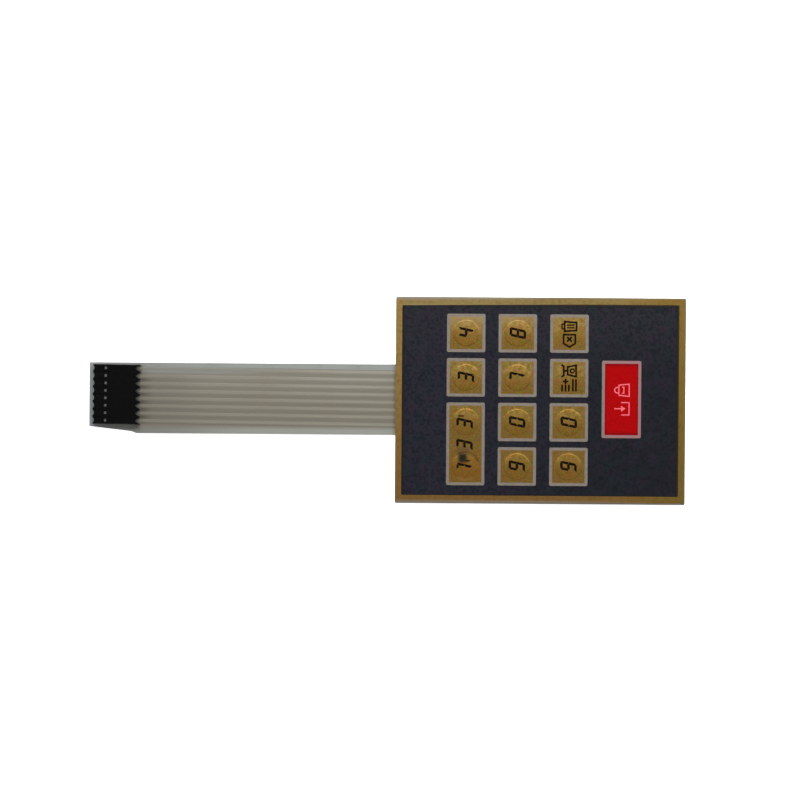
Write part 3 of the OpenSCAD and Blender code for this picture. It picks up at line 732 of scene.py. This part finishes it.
bold_line = 0.62
fine_line = 0.5
picture_shift = 2.45
pictures = bmesh.new()
rub_out = by_dome(3, 1, 0, -picture_shift)
arrow_rim = [(-2.1, 0), (-0.9, 2), (2.1, 2), (2.1, -2), (-0.9, -2)]
draw_line(pictures, arrow_rim, bold_line, rub_out, closed=True)
lay_ink(pictures, cross((0.55, 0), arm=1.15, width=0.6, turn=45), rub_out)
waste_bin = by_dome(3, 1, 0, picture_shift)
bin_lid = [(-2, 1.65), (2, 1.65)]
lid_handle = [(-0.8, 1.92), (-0.8, 2.55), (0.8, 2.55), (0.8, 1.92)]
bin_walls = [(-1.6, 1.38), (-1.35, -2.4), (1.35, -2.4), (1.6, 1.38)]
draw_line(pictures, bin_lid, bold_line, waste_bin)
draw_line(pictures, lid_handle, fine_line, waste_bin)
draw_line(pictures, bin_walls, bold_line, waste_bin)
for right in (-0.45, 0.45):
    draw_line(pictures, [(right, 0.9), (right, -1.75)], fine_line, waste_bin)
sum_lines = by_dome(3, 2, 0, -picture_shift)
for up in (2.35, 1.2, 0.05):
    draw_line(pictures, [(-2.1, up), (0.2, up)], bold_line, sum_lines)
lay_ink(pictures, cross((1.3, 1.2), arm=0.95, width=0.6, turn=0), sum_lines)
for up in (-1.3, -2.35):
    draw_line(pictures, [(-2.1, up), (2.1, up)], bold_line, sum_lines)
weighing_pan = by_dome(3, 2, 0, picture_shift)
pan = [(-2.1, 2.6), (-1.6, 1.85), (1.6, 1.85), (2.1, 2.6)]
pan_post = [(0, 1.58), (0, 0.78)]
scale_case = [(-1.3, 0.5), (-1.95, -2.35), (1.95, -2.35), (1.3, 0.5)]
dial = arc((0, -1.05), radius=0.68, start=0, end=324, steps=9)
draw_line(pictures, pan, bold_line, weighing_pan)
draw_line(pictures, pan_post, bold_line, weighing_pan)
draw_line(pictures, scale_case, bold_line, weighing_pan, closed=True)
draw_line(pictures, dial, fine_line, weighing_pan, closed=True)
finish_ink(pictures, "function_key_pictures", figure_ink)


# Pictures on the red key
# A tray that an arrow goes down into, and a shopping bag, in a thin white ink that lets the red
# through and so looks pink.
thin_line = 0.38
pale_ink = Finish("pale_picture_ink", shade(206, 96, 106), roughness=0.6, gloss=0.1)
pale_ink.mottle(pale_ink.blotches(0.5 * MM, detail=2), 0.4, 0.7, shade(188, 62, 72), most=0.6)
pale_pictures = bmesh.new()
shopping_bag = red_middle.xy + Vector((0.1, 3.15)) * MM
bag_walls = [(-1.7, 1), (-2.1, -2.5), (2.1, -2.5), (1.7, 1)]
bag_handle = [(0.95, 1.25), *arc((0, 1.5), radius=0.95, start=0, end=180, steps=8), (-0.95, 1.25)]
bag_label = [(-1, -0.1), (-1, -0.7), (1, -0.7), (1, -0.1)]
draw_line(pale_pictures, bag_walls, thin_line, shopping_bag, closed=True)
draw_line(pale_pictures, bag_handle, thin_line, shopping_bag)
draw_line(pale_pictures, bag_label, thin_line, shopping_bag)
tray = red_middle.xy + Vector((0.1, -3.15)) * MM
tray_walls = [(-2.1, 0.2), (-2.1, -2.5), (2.1, -2.5), (2.1, 0.2)]
arrow = [(-0.19, 2.5), (-0.19, 0.2), (-1, 0.2), (0, -1.3), (1, 0.2), (0.19, 0.2), (0.19, 2.5)]
draw_line(pale_pictures, tray_walls, thin_line, tray)
lay_ink(pale_pictures, arrow, tray)
finish_ink(pale_pictures, "red_key_pictures", pale_ink)


# Contacts
# Stamped phosphor bronze with a bright tin plating that has dulled where it was bent. Their tines
# are pushed up through the tail's end and clinched.
tin = Finish("tin_plate", shade(120, 119, 115), roughness=0.5, metallic=1)
tin_wear = tin.blotches(0.3 * MM)
tin.mottle(tin_wear, 0.5, 0.75, shade(104, 101, 94), most=0.5)
tin.polish(tin_wear, 0.42, 0.6)
tin.dress(*contact_names)


# Receptacle housing
# Moulded in black glass-filled nylon and slid over the crimped contacts, whose lances catch in its
# windows. Its skin is satin and finely speckled.
nylon = Finish("black_nylon", shade(4, 4, 4), roughness=0.5, gloss=0.06)
nylon.mottle(nylon.blotches(0.9 * MM, detail=4), 0.45, 0.75, shade(8, 8, 8), most=0.6)
nylon_speckle = nylon.blotches(0.18 * MM)
nylon.bump(nylon_speckle, 0.012 * MM)
nylon.polish(nylon_speckle, 0.42, 0.58)
nylon.dress("receptacle_housing")
